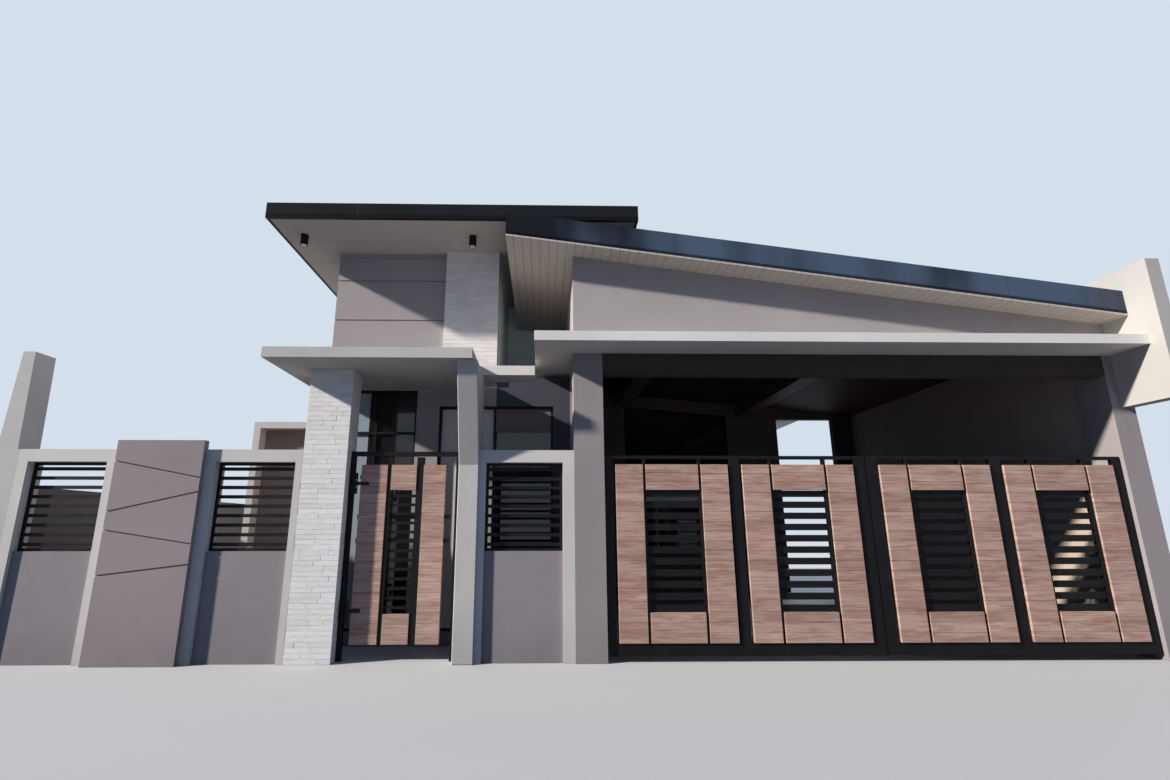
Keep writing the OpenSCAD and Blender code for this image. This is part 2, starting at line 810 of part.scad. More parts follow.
module firewall() {
    color([0.88, 0.86, 0.82])
        side_wall(firewall_x, firewall_t)
            polygon([
                [street_y - wing_out, wing_z],
                [street_y + column_d, wing_z],
                [street_y + column_d, 0],
                [rear_y, 0],
                [rear_y, firewall_h],
                [street_y - wing_out, firewall_h]
            ]);
}

module carport_lining() {
    y = street_y + column_d;
    color([0.3, 0.24, 0.21])
        block(firewall_x - lining_t, y, 0, lining_t, back_y - y, ceiling_under(firewall_x) - seat_gap);
}

module carport_ceiling() {
    color([0.22, 0.12, 0.1])
        facing_wall(street_y + beam_t, back_y - street_y - beam_t)
            translate([0, soffit_t]) ceiling_band(side_x, firewall_x - side_x, soffit_t);
}

module ceiling_beams() {
    y = street_y + beam_t;
    color([0.35, 0.3, 0.28]) {
        for (x = [beam_1_x, beam_1_x + ceiling_beam_gap])
            facing_wall(y, back_y - y) ceiling_band(x, ceiling_beam_w, ceiling_beam_h);
        facing_wall(back_y - wall_beam_t, wall_beam_t)
            ceiling_band(side_x, passage_x - side_x, ceiling_beam_h);
    }
}

module carport_back_wall() {
    right = passage_x + passage_w;
    color([0.42, 0.37, 0.34])
        facing_wall(back_y, wall_t)
            difference() {
                polygon([
                    [side_x, 0],
                    [right, 0],
                    [right, wall_top(right)],
                    [side_x, wall_top(side_x)]
                ]);
                rect(passage_x, -past, passage_w + past, passage_h + past);
                rect(drive_x + carport_window_x, carport_window_sill, carport_window_w,
                    carport_window_head - carport_window_sill);
            }
}

module passage_jamb() {
    color([0.2, 0.2, 0.24])
        facing_wall(back_y, wall_t)
            polygon([
                [passage_x + passage_w, 0],
                [firewall_x, 0],
                [firewall_x, wall_top(firewall_x)],
                [passage_x + passage_w, wall_top(passage_x + passage_w)]
            ]);
}

// Tower and house walls

// The black framed entrance runs from the tower's front wall across the foyer
foyer_x = tower_right_x - panel_w - 2 * bar_w;
foyer_right_x = column_x - foyer_wall_w;

module tower_front_wall() {
    plank_w = tower_w - brick_w + past;
    color([0.5, 0.46, 0.46])
        difference() {
            facing_wall(tower_y, wall_t)
                difference() {
                    rect(tower_x, 0, tower_w, high_z - soffit_t);
                    rect(tower_x + entrance_x, floor_h, entrance_w, entrance_head - floor_h);
                    rect(foyer_x, floor_h, tower_w, foyer_head - floor_h);
                }
            for (i = [0 : 2])
                block(tower_x - past, tower_y - past, high_z - plank_top - i * plank_h, plank_w,
                    past + groove_d, groove_w);
            block(tower_x - past, tower_y - past, high_z - soffit_t - 5 * groove_w, plank_w,
                past + groove_d, 5 * groove_w);
        }
}

module brick_column() {
    z = entry_canopy_z + entry_canopy_t;
    color([0.88, 0.84, 0.78])
        block(tower_right_x - brick_w, tower_y - brick_proud, z, brick_w, brick_proud, high_z - soffit_t - z);
}

// The walls above the foyer roof, on the right of the tower and at the back of the recess
module recess_walls() {
    x = tower_right_x - wall_t;
    top = high_z - soffit_t;
    color([0.5, 0.46, 0.46]) {
        block(x, tower_y + wall_t, foyer_h, wall_t, porch_y - tower_y - wall_t, top - foyer_h);
        block(x, porch_y, foyer_h, column_x - x, wall_t, top - foyer_h);
    }
}

module foyer_wall() {
    color([0.4, 0.37, 0.38]) {
        facing_wall(tower_y, wall_t)
            difference() {
                rect(tower_right_x, 0, column_x - tower_right_x, foyer_h);
                rect(tower_right_x - past, floor_h, foyer_right_x - tower_right_x + past,
                    foyer_head - floor_h);
            }
        block(tower_right_x, tower_y, foyer_h, column_x - tower_right_x, porch_y - tower_y, soffit_t * 5);
    }
}

// Steel frames of the glazed entrance under the canopy and of the black framed entrance beside it
module entrance_frame() {
    x = tower_x + entrance_x;
    color([0.1, 0.1, 0.11])
        facing_wall(tower_y + (wall_t - bar_t) / 2, bar_t) {
            difference() {
                rect(x, floor_h, entrance_w, entrance_head - floor_h);
                rect(x + bar_w, floor_h + bar_w, entrance_w - 2 * bar_w, entrance_head - floor_h - 2 * bar_w);
            }
            rect(x, entrance_transom, entrance_w, bar_w);
            rect(x + entrance_mullion, floor_h, bar_w, entrance_head - floor_h);
            difference() {
                rect(foyer_x, floor_h, foyer_right_x - foyer_x, foyer_head - floor_h);
                rect(foyer_x + bar_w, floor_h + bar_w, panel_w, foyer_head - floor_h - 2 * bar_w);
                rect(tower_right_x, floor_h + bar_w, foyer_right_x - tower_right_x - bar_w,
                    foyer_head - floor_h - 2 * bar_w);
            }
        }
}

module entrance_panel() {
    color([0.85, 0.83, 0.8])
        facing_wall(tower_y + wall_t / 2, bar_t / 2)
            rect(foyer_x + bar_w, floor_h + bar_w, panel_w, foyer_head - floor_h - 2 * bar_w);
}

module entrance_band() {
    color([0.4, 0.36, 0.36])
        facing_wall(tower_y + (wall_t - bar_t) / 2, bar_t)
            rect(tower_right_x, foyer_head - bar_w - foyer_band_h, foyer_right_x - tower_right_x - bar_w,
                foyer_band_h);
}

module entrance_glass() {
    x = tower_x + entrance_x;
    z = floor_h + bar_w;
    color([0.3, 0.36, 0.4, 0.5])
        facing_wall(tower_y + (wall_t - glass_t) / 2, glass_t) {
            difference() {
                rect(x + bar_w, z, entrance_w - 2 * bar_w, entrance_head - bar_w - z);
                rect(x, entrance_transom, entrance_w, bar_w);
                rect(x + entrance_mullion, floor_h, bar_w, entrance_head);
            }
            rect(tower_right_x, z, foyer_right_x - tower_right_x - bar_w,
                foyer_head - bar_w - foyer_band_h - z);
        }
}

module high_side_wall() {
    color([0.62, 0.58, 0.56])
        block(column_x, porch_y + wall_t, 0, wall_t, rear_end_y - porch_y - wall_t, high_z - soffit_t);
}

module left_wall() {
    color([0.62, 0.58, 0.56])
        side_wall(tower_x, wall_t)
            difference() {
                rect(tower_y + wall_t, 0, rear_end_y - tower_y - wall_t, high_z - soffit_t);
                for (y = left_windows)
                    rect(tower_y + y, window_sill, window_w, window_head - window_sill);
            }
}

module rear_walls() {
    x = tower_x + wall_t;
    color([0.62, 0.58, 0.56]) {
        facing_wall(rear_end_y - wall_t, wall_t)
            difference() {
                union() {
                    rect(x, 0, column_x - x, high_z - soffit_t);
                    polygon([
                        [side_x, 0],
                        [rear_right_x, 0],
                        [rear_right_x, wall_top(rear_right_x)],
                        [side_x, wall_top(side_x)]
                    ]);
                }
                for (i = rear_windows)
                    rect(tower_x + i, window_sill, window_w, window_head - window_sill);
            }
        side_wall(rear_right_x - wall_t, wall_t)
            difference() {
                rect(rear_y, 0, rear_end_y - wall_t - rear_y, wall_top(rear_right_x));
                rect(rear_y + side_window_y, window_sill, window_w, window_head - window_sill);
            }
    }
}

module window_set(t, inset) {
    h = window_head - window_sill;
    for (y = left_windows)
        side_wall(tower_x + (wall_t - t) / 2, t)
            rect(tower_y + y + inset, window_sill + inset, window_w - 2 * inset, h - 2 * inset);
    for (x = rear_windows)
        facing_wall(rear_end_y - (wall_t + t) / 2, t)
            rect(tower_x + x + inset, window_sill + inset, window_w - 2 * inset, h - 2 * inset);
    side_wall(rear_right_x - (wall_t + t) / 2, t)
        rect(rear_y + side_window_y + inset, window_sill + inset, window_w - 2 * inset, h - 2 * inset);
    facing_wall(back_y + (wall_t - t) / 2, t)
        rect(drive_x + carport_window_x + inset, carport_window_sill + inset, carport_window_w - 2 * inset,
            carport_window_head - carport_window_sill - 2 * inset);
}

module window_frames() {
    color([0.1, 0.1, 0.11])
        difference() {
            window_set(bar_t, 0);
            window_set(bar_t + 2 * past, bar_w);
        }
}

module window_glass() {
    color([0.3, 0.36, 0.4, 0.5]) window_set(glass_t, bar_w);
}

module house_floor() {
    x = tower_x + wall_t;
    color([0.6, 0.58, 0.55]) {
        block(x, tower_y + wall_t, 0, column_x - x, rear_end_y - tower_y - 2 * wall_t, floor_h);
        block(side_x, rear_y, 0, rear_right_x - wall_t - side_x, rear_end_y - wall_t - rear_y, floor_h);
    }
}

module side_frame() {
    x = tower_x - side_bay_w;
    color([0.7, 0.68, 0.66])
        facing_wall(porch_y, side_bay_d) {
            rect(x, 0, side_bay_t, side_bay_h);
            rect(x, side_bay_h - side_bay_t, side_bay_w, side_bay_t);
        }
}

module side_bay_wall() {
    x = tower_x - side_bay_w + side_bay_t;
    color([0.25, 0.17, 0.15])
        block(x, porch_y + side_bay_in, 0, tower_x - x, wall_t, side_bay_h - side_bay_t);
}

// Roofs

module high_roof() {
    w = high_end_x - high_x;
    d = high_end_y - high_y;
    color([0.1, 0.09, 0.1])
        difference() {
            block(high_x, high_y, high_z - soffit_t, w, d, high_fascia + soffit_t);
            block(high_x + fascia_w, high_y + fascia_w, high_z - soffit_t - past, w - 2 * fascia_w,
                d - 2 * fascia_w, soffit_t + past);
            block(high_x + fascia_w, high_y + fascia_w, high_z + high_fascia - sheet_drop, w - 2 * fascia_w,
                d - 2 * fascia_w, sheet_drop + past);
        }
}

module high_soffit() {
    color([0.7, 0.67, 0.63])
        block(high_x + fascia_w, high_y + fascia_w, high_z - soffit_t, high_end_x - high_x - 2 * fascia_w,
            high_end_y - high_y - 2 * fascia_w, soffit_t);
}

module soffit_lights() {
    color([0.06, 0.06, 0.07])
        for (x = [high_x + light_in, tower_right_x - light_in])
            translate([x, high_y + light_back, high_z - soffit_t - 3 * light_r])
                cylinder(r = light_r, h = 3 * light_r);
}

// The three parts of the carport roof as [left x, right x, front y, back y]
lean_parts = [
    [lean_x, firewall_x, lean_y, porch_y],
    [side_x, firewall_x, porch_y, lean_end_y],
    [side_x, rear_roof_x, lean_end_y, high_end_y]
];

module lean_roof() {
    color([0.12, 0.12, 0.15])
        for (p = lean_parts)
            facing_wall(p[2], p[3] - p[2]) lean_band(p[0], p[1] - p[0], 0, lean_fascia);
}

module lean_soffit() {
    color([0.75, 0.68, 0.6]) {
        facing_wall(lean_y, street_y - lean_y) lean_band(lean_x, firewall_x - lean_x, -soffit_t, soffit_t);
        facing_wall(street_y, porch_y - street_y)
            lean_band(lean_x, column_x - lean_x, -soffit_t, soffit_t);
    }
}

boundary_fin();
boundary_wall();
fence_wall_left();
fence_wall_middle();
fence_wall_right();
fence_infills();
fence_feature_panel();
fence_grille_left();
fence_grille_middle();
fence_grille_right();
brick_pier();
canopy_fin();
entry_canopy();
porch_ledge();
carport_canopy();
drive_beam();
gate_column_left();
gate_column_right();
entry_gate_portal();
gate_hinges();
entry_gate_frame();
entry_gate_boards();
drive_leaf_left_frame();
drive_leaf_left_boards();
drive_leaf_right_frame();
drive_leaf_right_boards();
gable_wall();
porch_side_wall();
firewall();
carport_lining();
carport_back_wall();
passage_jamb();
carport_ceiling();
ceiling_beams();
tower_front_wall();
brick_column();
recess_walls();
foyer_wall();
entrance_frame();
entrance_panel();
entrance_band();
entrance_glass();
high_side_wall();
left_wall();
rear_walls();
window_frames();
window_glass();
house_floor();
side_frame();
side_bay_wall();
high_roof();
high_soffit();
soffit_lights();
lean_roof();
lean_soffit();
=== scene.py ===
"""Modern bungalow with a street wall, a pedestrian gate and a gated carport.

Lengths are in metres, in the frame of the CAD: X along the street, Y into the plot, Z up.
"""
import math
import random

import bmesh
import bpy
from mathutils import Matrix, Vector


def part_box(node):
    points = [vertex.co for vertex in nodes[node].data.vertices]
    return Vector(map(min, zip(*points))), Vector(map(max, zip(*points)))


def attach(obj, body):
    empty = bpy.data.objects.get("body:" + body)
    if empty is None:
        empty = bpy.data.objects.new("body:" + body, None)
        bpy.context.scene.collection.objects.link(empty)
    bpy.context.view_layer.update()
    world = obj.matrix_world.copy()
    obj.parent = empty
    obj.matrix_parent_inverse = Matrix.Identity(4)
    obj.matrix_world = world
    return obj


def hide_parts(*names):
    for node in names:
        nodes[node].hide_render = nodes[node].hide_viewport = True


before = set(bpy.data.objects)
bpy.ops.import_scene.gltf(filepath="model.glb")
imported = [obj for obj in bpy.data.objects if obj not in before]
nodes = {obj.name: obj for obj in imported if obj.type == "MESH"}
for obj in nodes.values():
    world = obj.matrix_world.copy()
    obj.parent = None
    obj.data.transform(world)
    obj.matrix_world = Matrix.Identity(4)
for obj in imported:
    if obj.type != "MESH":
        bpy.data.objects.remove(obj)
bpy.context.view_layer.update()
scene = bpy.context.scene
random.seed(7)

# Camera, matched to the photograph: angles in degrees, lens and sensor in millimetres
CAM_AT = (-0.34, -10.955, 1.3)
CAM_TILT = 103.443
CAM_TURN = -1.043
CAM_LENS = 17.79
CAM_SENSOR = 36.0
CAM_SHIFT = 0.0259
CAM_REACH = 500.0


def add_camera():
    data = bpy.data.cameras.new("camera")
    data.sensor_fit = "HORIZONTAL"
    data.sensor_width = CAM_SENSOR
    data.lens = CAM_LENS
    data.shift_x = CAM_SHIFT
    data.clip_end = CAM_REACH
    cam = bpy.data.objects.new("camera", data)
    cam.location = CAM_AT
    cam.rotation_euler = (math.radians(CAM_TILT), 0.0, math.radians(CAM_TURN))
    scene.collection.objects.link(cam)
    scene.camera = cam


add_camera()

# Axes, the tint that changes nothing, and the sockets of a Mix node that mixes colours
X, Y, Z = range(3)
UNCHANGED = (1.0, 1.0, 1.0)
MIX_FACTOR = 0
MIX_A = 6
MIX_B = 7
MIX_RESULT = 2

# Most of a noise lies between these values
NOISE_LOW = 0.3
NOISE_HIGH = 0.7


def shade(colour, factor):
    return tuple(min(1.0, v * factor) for v in colour)


class Nodes:
    """Adds nodes to a tree. An input takes the output of another node, a number, a vector or a colour."""

    def __init__(self, tree):
        self.tree = tree

    def put(self, socket, value):
        if isinstance(value, bpy.types.NodeSocket):
            self.tree.links.new(value, socket)
        elif socket.type == "RGBA":
            socket.default_value = (*value, 1.0)
        else:
            socket.default_value = value

    def add(self, kind, values=None):
        node = self.tree.nodes.new("ShaderNode" + kind)
        for socket, value in (values or {}).items():
            self.put(node.inputs[socket], value)
        return node

    def calc(self, operation, a, b=0.0):
        node = self.add("Math", {0: a, 1: b})
        node.operation = operation
        return node.outputs[0]

    def mix(self, factor, a, b, mode="MIX"):
        node = self.add("Mix")
        node.data_type = "RGBA"
        node.blend_type = mode
        for socket, value in ((MIX_FACTOR, factor), (MIX_A, a), (MIX_B, b)):
            self.put(node.inputs[socket], value)
        return node.outputs[MIX_RESULT]

    def seen(self):
        """1 on the rays that show the backdrop directly, in a mirror or through glass, and 0 on the rest."""
        path = self.add("LightPath")
        shown = path.outputs["Is Camera Ray"]
        for kind in ("Is Glossy Ray", "Is Transmission Ray"):
            shown = self.calc("MAXIMUM", shown, path.outputs[kind])
        return shown


class Mat(Nodes):
    """Builds one material with a principled shader, textured in the coordinates of the object."""

    def __init__(self, name, rough, metal=0.0, specular=0.5):
        self.material = bpy.data.materials.new(name)
        self.material.use_nodes = True
        super().__init__(self.material.node_tree)
        self.tree.nodes.clear()
        values = {"Roughness": rough, "Metallic": metal, "Specular IOR Level": specular}
        self.shader = self.add("BsdfPrincipled", values)
        self.add("OutputMaterial", {"Surface": self.shader.outputs[0]})
        self.place = self.add("TexCoord").outputs["Object"]

    def noise(self, scale, detail=3.0, rough=0.5, stretch=None, distort=0.0):
        """Soft noise. Its spots get shorter along the axes that have a large stretch."""
        place = self.place
        if stretch:
            place = self.add("Mapping", {"Vector": place, "Scale": stretch}).outputs[0]
        values = {"Scale": scale, "Detail": detail, "Roughness": rough, "Distortion": distort}
        return self.add("TexNoise", {"Vector": place, **values}).outputs["Fac"]

    def ramp(self, factor, *stops):
        """Colour that follows the stops, each a position and a colour."""
        node = self.add("ValToRGB", {0: factor})
        marks = node.color_ramp.elements
        while len(marks) < len(stops):
            marks.new(0.5)
        for mark, (position, colour) in zip(marks, stops):
            mark.position = position
            mark.color = (*colour, 1.0)
        return node.outputs[0]

    def span(self, value, low, high, at_low=0.0, at_high=1.0):
        """at_low up to the value low, at_high from the value high on, and a straight line between them."""
        ends = {"From Min": low, "From Max": high, "To Min": at_low, "To Max": at_high}
        return self.add("MapRange", {"Value": value, **ends}).outputs[0]

    def times(self, a, b):
        return self.mix(1.0, a, b, "MULTIPLY")

    def dimmed(self, colour, factor):
        """The colour with all its channels times one factor."""
        grey = self.add("CombineColor", {0: factor, 1: factor, 2: factor})
        return self.times(colour, grey.outputs[0])

    def axis(self, which):
        return self.add("SeparateXYZ", {0: self.place}).outputs[which]

    def to_joint(self, which, pitch, start=0.0):
        """How far a point lies from the nearest joint across an axis, as a share of their pitch."""
        at = self.calc("ADD", self.axis(which), start)
        share = self.calc("FRACT", self.calc("DIVIDE", at, pitch))
        return self.calc("MINIMUM", share, self.calc("SUBTRACT", 1.0, share))

    def island(self):
        """A random number for each loose part of a piece."""
        return self.add("NewGeometry").outputs["Random Per Island"]

    def colour(self, value):
        self.put(self.shader.inputs["Base Color"], value)

    def roughness(self, noise, smooth, rough, low=NOISE_LOW, high=NOISE_HIGH):
        """Roughness that follows a noise."""
        self.put(self.shader.inputs["Roughness"], self.span(noise, low, high, smooth, rough))

    def bump(self, *layers):
        """Relief in layers, each a height, a distance in metres and a strength."""
        normal = None
        for height, distance, strength in layers:
            node = self.add("Bump", {"Height": height, "Distance": distance, "Strength": strength})
            if normal:
                self.put(node.inputs["Normal"], normal)
            normal = node.outputs[0]
        self.put(self.shader.inputs["Normal"], normal)


# Kinds of surface
def plaster(name, colour, rough=0.85, foot=0.86):
    """Painted render: soft mottling, faint run marks, a dusty foot and a fine grain."""
    m = Mat(name, rough, specular=0.3)
    clouds = m.noise(0.9, detail=4.0, rough=0.55)
    mottle = m.ramp(clouds, (0.32, shade(colour, 0.93)), (0.68, shade(colour, 1.05)))
    streaks = m.noise(1.0, rough=0.6, stretch=(5.0, 5.0, 0.3))
    runs = m.span(streaks, 0.35, 0.7, at_low=1.0, at_high=0.97)
    uneven = m.calc("MULTIPLY", m.noise(3.0), -0.4)
    dust = m.span(m.calc("ADD", m.axis(Z), uneven), -0.2, 0.35, at_low=foot)
    m.colour(m.dimmed(mottle, m.calc("MULTIPLY", runs, dust)))
    m.roughness(m.noise(6.0), rough - 0.08, rough + 0.06)
    m.bump((m.noise(2.2), 0.004, 0.35), (m.noise(160.0, rough=0.6), 0.0012, 0.5))
    return m.material


def stone(name, colour):
    """Split face stone, each slip with its own tone."""
    m = Mat(name, 0.9, specular=0.25)
    tone = m.ramp(m.island(), (0.0, shade(colour, 0.93)), (0.5, colour), (1.0, shade(colour, 1.05)))
    clouds = m.noise(9.0, detail=5.0, rough=0.6, stretch=(1.0, 1.0, 3.5))
    m.colour(m.times(tone, m.ramp(clouds, (0.35, (0.91, 0.895, 0.88)), (0.65, UNCHANGED))))
    split = m.noise(26.0, detail=5.0, rough=0.65, stretch=(1.0, 1.0, 2.2))
    m.bump((split, 0.003, 0.6), (m.noise(140.0), 0.001, 0.5))
    return m.material


def boards(name, light, dark, rough=0.55, stretch=(1.6, 30.0, 34.0), spread=0.22, blocks=False):
    """Timber with grain along the boards and a tone of its own on each.

    With blocks, each board also looks joined from short pieces.
    """
    m = Mat(name, rough, specular=0.35)
    grain = m.noise(2.0, detail=6.0, rough=0.65, stretch=stretch, distort=0.35)
    middle = tuple((a + b) / 2 for a, b in zip(light, dark))
    timber = m.ramp(grain, (0.30, dark), (0.47, middle), (0.66, light))
    clouds = m.noise(1.1, stretch=(0.7, 4.0, 7.0))
    timber = m.times(timber, m.ramp(clouds, (0.35, (0.78, 0.74, 0.72)), (0.62, UNCHANGED)))
    if blocks:
        deep = m.noise(1.0, detail=1.0, rough=0.4, stretch=(4.5, 4.5, 27.0))
        timber = m.times(timber, m.ramp(deep, (0.54, UNCHANGED), (0.61, (0.89, 0.80, 0.78))))
        pale = m.noise(1.3, detail=1.0, rough=0.4, stretch=(3.5, 3.5, 24.0))
        timber = m.times(timber, m.ramp(pale, (0.55, UNCHANGED), (0.62, (1.10, 1.08, 1.04))))
    darkest = (1 - spread, 1 - spread * 1.1, 1 - spread * 1.15)
    own = m.ramp(m.island(), (0.0, darkest), (0.55, UNCHANGED), (1.0, (1.0, 0.97, 0.95)))
    m.colour(m.times(timber, own))
    sheen = m.noise(3.0, detail=4.0, stretch=stretch)
    m.roughness(sheen, rough - 0.1, rough + 0.12)
    m.bump((grain, 0.0012, 0.5))
    return m.material


def steel(name, colour, rough=0.42, metal=0.0, coat=0.0, specular=0.5):
    """Coated steel with a slightly uneven sheen and some dust on it."""
    m = Mat(name, rough, metal, specular)
    m.put(m.shader.inputs["Coat Weight"], coat)
    m.put(m.shader.inputs["Coat Roughness"], 0.25)
    dusty = tuple(v * 1.35 + 0.002 for v in colour)
    m.colour(m.ramp(m.noise(3.5, detail=5.0, rough=0.6), (0.35, colour), (0.72, dusty)))
    sheen = m.noise(9.0, detail=4.0, rough=0.6)
    m.roughness(sheen, rough - 0.1, rough + 0.12)
    m.bump((m.noise(60.0, rough=0.6), 0.0004, 0.5))
    return m.material


def lined_boards(name, light, dark, pitch, across, rough=0.6, line=0.45):
    """Flat ceiling boards: a darker line at each joint across the given axis, and grain along the boards."""
    m = Mat(name, rough, specular=0.3)
    edge = m.to_joint(across, pitch)
    stretch = (26.0, 1.4, 26.0) if across == X else (1.4, 26.0, 26.0)
    grain = m.noise(2.0, detail=5.0, rough=0.6, stretch=stretch, distort=0.3)
    timber = m.ramp(grain, (0.33, dark), (0.66, light))
    m.colour(m.dimmed(timber, m.span(edge, 0.0, 0.05, at_low=line)))
    m.bump((m.span(edge, 0.0, 0.05), 0.003, 0.8), (grain, 0.001, 0.4))
    return m.material


def fascia(name, dark, light, metal, specular, fall, gap_shade_z, pitch=1.22, fade=None):
    """Satin roof trim: lengths with a fine joint between them, over a darker band at the foot, which is
    painted shade of the gap under the trim.

    The painted shade ends at the given height where X is 0, and falls with the roof. Slow patches of painted
    sky reflection move the tone between dark and light. A fade is the stretch in X over which this painted
    reflection goes from dark to light.
    """
    m = Mat(name, 0.3, metal, specular)
    edge = m.calc("MINIMUM", m.to_joint(X, pitch, start=0.11), m.to_joint(Y, pitch, start=0.29))
    level = m.calc("ADD", m.axis(Z), m.calc("MULTIPLY", m.axis(X), fall))
    # Painted shade: the foot of the trim is darker, for the gap below it that lies in shade.
    gap_shade = m.span(level, gap_shade_z, gap_shade_z + 0.004, at_low=0.3)
    joint = m.span(edge, 0.0, 0.003, at_low=0.35)
    # Painted reflection: slow patches and a fade along X move the tone between dark and light.
    sky = m.calc("SUBTRACT", m.noise(1.3, detail=2.0, stretch=(1.0, 0.3, 0.3)), 0.5)
    reflection_drift = m.calc("MULTIPLY", sky, 2.2)
    run = m.span(m.axis(X), *fade, at_high=0.78) if fade else 0.5
    tone = m.ramp(m.calc("ADD", run, reflection_drift), (0.15, dark), (0.85, light))
    m.colour(m.dimmed(tone, m.calc("MULTIPLY", joint, gap_shade)))
    m.roughness(m.noise(1.4), 0.24, 0.36)
    m.bump((m.span(edge, 0.0, 0.004), 0.002, 0.6), (m.noise(0.8, detail=2.0), 0.004, 0.15))
    return m.material


def pane(name, tint, cloudy, left_reflection=None, left_of=0.0):
    """Glass over a dim room. The panes left of the given line may have a painted sky reflection as their
    colour.
    """
    m = Mat(name, 0.04)
    values = {"IOR": 1.5, "Transmission Weight": 1.0 - cloudy, "Coat Weight": 0.1, "Coat Roughness": 0.03}
    for socket, value in values.items():
        m.put(m.shader.inputs[socket], value)
    colour = m.ramp(m.noise(0.6), (0.3, shade(tint, 0.85)), (0.7, tint))
    if left_reflection:
        colour = m.mix(m.span(m.axis(X), left_of, left_of + 0.004), left_reflection, colour)
    m.colour(colour)
    m.roughness(m.noise(2.5, detail=4.0), 0.03, 0.1, low=0.35, high=0.75)
    return m.material


def lens(name, dark, light):
    """The frosted face of a lamp."""
    m = Mat(name, 0.35)
    m.colour(m.ramp(m.noise(60.0, detail=2.0), (0.3, dark), (0.7, light)))
    m.bump((m.noise(220.0, detail=2.0), 0.0004, 0.5))
    return m.material


# Roof lines that the trim follows, and the place where the entrance's side pane ends
FALL_ANGLE = 7.5
FALL = math.tan(math.radians(FALL_ANGLE))
HIGH_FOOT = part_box("high_roof")[0].z
LEAN_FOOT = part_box("lean_soffit")[1].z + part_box("lean_soffit")[0].x * FALL
# Heights of the painted shade band at the foot of each trim, and the stretch in X where the painted
# reflection on the carport trim fades in
HIGH_GAP_SHADE = 0.05
LEAN_GAP_SHADE = 0.035
REFLECTION_FADE = (0.0, 1.5)
SIDE_PANE_W = 0.39
SIDE_PANE_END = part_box("entrance_glass")[0].x + SIDE_PANE_W

# Materials
# Painted shade: the boundary wall's inner face is given a dark colour for the shade it stands in.
YARD_IN_SHADE = plaster("plaster_yard_shade_m", (0.150, 0.130, 0.134))
# The infills' own darker paint, made darker still as painted shade from plants and the fin.
INFILL_AND_SHADE = plaster("plaster_infill_and_shade_m", (0.262, 0.236, 0.246))
COLUMN = plaster("plaster_column_m", (0.300, 0.266, 0.266))
MAUVE = plaster("plaster_mauve_m", (0.350, 0.315, 0.318))
LIGHT = plaster("plaster_light_m", (0.620, 0.590, 0.550))
CANOPY = plaster("plaster_canopy_m", (0.760, 0.725, 0.685))
ENTRY = plaster("plaster_entry_m", (0.520, 0.490, 0.465))
PANEL = plaster("plaster_panel_m", (0.290, 0.245, 0.250))
GABLE = plaster("plaster_gable_m", (0.370, 0.335, 0.330))
CREAM = plaster("plaster_cream_m", (0.450, 0.428, 0.402))
HOUSE = plaster("plaster_house_m", (0.430, 0.400, 0.385))
# Painted skylight: the recess walls are given a raised, blue-tinted colour for the sky light that the deep
# recess does not get.
RECESS_SKYLIGHT = plaster("plaster_recess_skylight_m", (0.820, 0.960, 1.000), rough=0.6, foot=1.0)
# Painted shade: the foyer wall and the passage jamb are given a near-black blue for the shade they stand in.
WALL_IN_SHADE = plaster("plaster_wall_shade_m", (0.060, 0.064, 0.082))
DARK = plaster("plaster_dark_m", (0.260, 0.205, 0.175))
# The band's own taupe, darkened as painted shade under the canopy.
BAND_AND_SHADE = plaster("plaster_band_and_shade_m", (0.200, 0.165, 0.155))
# Painted shade: the beam under the carport canopy is given a near-black colour for the shade it stands in.
BEAM_IN_SHADE = plaster("plaster_beam_shade_m", (0.050, 0.040, 0.037))
LINING = plaster("plaster_lining_m", (0.470, 0.372, 0.310))
WHITE = plaster("panel_white_m", (0.700, 0.665, 0.630), rough=0.5, foot=1.0)
MORTAR = plaster("mortar_m", (0.600, 0.575, 0.550), rough=0.95)
FLOOR_IN = plaster("floor_in_m", (0.360, 0.340, 0.320), rough=0.5, foot=1.0)
STONE = stone("stone_slip_m", (0.820, 0.795, 0.770))
SILL = stone("sill_stone_m", (0.420, 0.392, 0.370))
STEEL = steel("black_steel_m", (0.006, 0.006, 0.007), rough=0.5, specular=0.13)
ROOF = steel("roof_metal_m", (0.045, 0.046, 0.052), rough=0.4, metal=0.3, coat=0.2)
# Both trims have a painted shade band at their foot and slow patches of painted reflection; the blue of the
# carport trim is painted sky reflection, fading in from dark along X.
FASCIA = fascia("fascia_metal_m", (0.009, 0.009, 0.011), (0.014, 0.014, 0.017), metal=0.0, specular=0.12,
                fall=0.0, gap_shade_z=HIGH_FOOT + HIGH_GAP_SHADE)
FASCIA_LEAN = fascia("fascia_sky_reflection_m", (0.012, 0.013, 0.018), (0.084, 0.112, 0.165), metal=0.85, specular=0.5,
                     fall=FALL, gap_shade_z=LEAN_FOOT + LEAN_GAP_SHADE, fade=REFLECTION_FADE)
WOOD = boards("gate_wood_m", (0.590, 0.412, 0.340), (0.365, 0.232, 0.186), spread=0.16, blocks=True)
BEAM = boards("ceiling_beam_m", (0.320, 0.240, 0.200), (0.200, 0.145, 0.120), stretch=(30.0, 1.6, 30.0))
SOFFIT = lined_boards("lean_soffit_m", (0.520, 0.475, 0.430), (0.460, 0.415, 0.372), pitch=0.1, across=X)
SOFFIT_PLAIN = lined_boards("high_soffit_m", (0.460, 0.430, 0.405), (0.430, 0.400, 0.376), pitch=0.6,
                            across=Y, rough=0.7, line=0.88)
CEILING = lined_boards("carport_ceiling_m", (0.085, 0.028, 0.026), (0.045, 0.015, 0.014), pitch=0.12,
                       across=Y)
GLASS = pane("glass_m", (0.030, 0.034, 0.040), cloudy=0.6)
